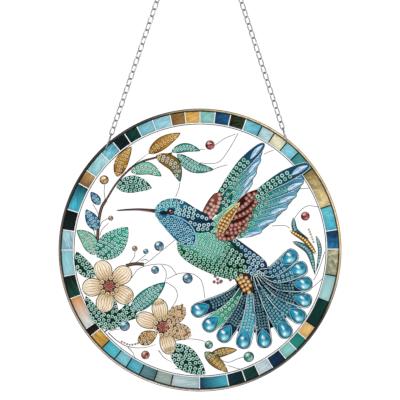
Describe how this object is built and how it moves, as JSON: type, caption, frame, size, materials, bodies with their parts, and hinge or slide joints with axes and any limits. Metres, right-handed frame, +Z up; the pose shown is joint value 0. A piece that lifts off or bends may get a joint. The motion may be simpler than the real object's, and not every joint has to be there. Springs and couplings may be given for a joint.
{
  "type": "hanging suncatcher",
  "caption": "Round clear hanging suncatcher with a hummingbird, blossoms and leaves in set stones, a rim of glass tiles in a brass hoop, and a chain.",
  "frame": {"origin": "inside top of the hanging ring, where a hook bears", "axes": "+Z up along the hanging line, +X to the viewer's right, the picture faces -Y"},
  "size_m": [0.2, 0.0138, 0.3732],
  "materials": {
    "clear_acrylic": "clear, polished",
    "brass_hoop": "aged, rounded",
    "rim_glass": "streaky glass tiles, glossy",
    "silver_wire": "bright nickel plate",
    "dark_enamel": "glossy black",
    "blue_stones": "faceted, glossy",
    "cobalt_stones": "faceted, glossy",
    "green_stones": "faceted, glossy",
    "navy_stones": "faceted, glossy",
    "teal_stones": "faceted, glossy",
    "aqua_stones": "faceted, glossy",
    "sage_stones": "faceted, glossy",
    "gold_stones": "faceted, glossy",
    "amber_stones": "faceted, glossy",
    "russet_stones": "faceted, glossy",
    "red_stones": "faceted, glossy",
    "sky_drops": "smooth cut drops, glossy",
    "cream_petals": "veined, satin"
  },
  "bodies": {
    "root": {"amber_leaf": "amber_stones", "aqua_leaf_lower": "aqua_stones", "aqua_leaf_upper": "aqua_stones", "back_wing": "teal_stones", "back_wing_root": "russet_stones", "beaded_leaf_left": "green_stones", "bird_beak": "dark_enamel", "bird_body": "green_stones", "bird_eye": "dark_enamel", "bird_gorget": "cobalt_stones", "bird_head": "blue_stones", "bird_rump": "navy_stones", "bird_thigh": "gold_stones", "blossom_left": "cream_petals", "blossom_right": "cream_petals", "blue_berry_low": "blue_stones", "blue_berry_mid": "blue_stones", "blue_berry_throat": "blue_stones", "blue_bud": "blue_stones", "blue_bud_upper": "blue_stones", "bottom_sprig": "gold_stones", "chain_left": "silver_wire", "chain_right": "silver_wire", "coverts_gold": "gold_stones", "coverts_russet": "russet_stones", "fern": "green_stones", "front_wing": "teal_stones", "gold_bud": "amber_stones", "gold_leaf_left": "gold_stones", "gold_leaf_top": "gold_stones", "green_leaf": "green_stones", "hanging_ring": "silver_wire", "hoop": "brass_hoop", "jade_leaf": "aqua_stones", "jump_ring_left": "silver_wire", "jump_ring_right": "silver_wire", "ochre_berry": "amber_stones", "pale_leaf": "sage_stones", "panel": "clear_acrylic", "pine_leaf": "green_stones", "red_berry_right": "red_stones", "red_berry_top": "red_stones", "right_sprig": "amber_stones", "sage_leaf": "sage_stones", "tail_drop_1": "sky_drops", "tail_drop_10": "sky_drops", "tail_drop_11": "sky_drops", "tail_drop_2": "sky_drops", "tail_drop_3": "sky_drops", "tail_drop_4": "sky_drops", "tail_drop_5": "sky_drops", "tail_drop_6": "sky_drops", "tail_drop_7": "sky_drops", "tail_drop_8": "sky_drops", "tail_drop_9": "sky_drops", "tail_fan": "navy_stones", "teal_berry_left": "teal_stones", "teal_berry_right": "teal_stones", "teal_leaf": "aqua_stones", "tile_band": "rim_glass"}
  },
  "joints": []
}
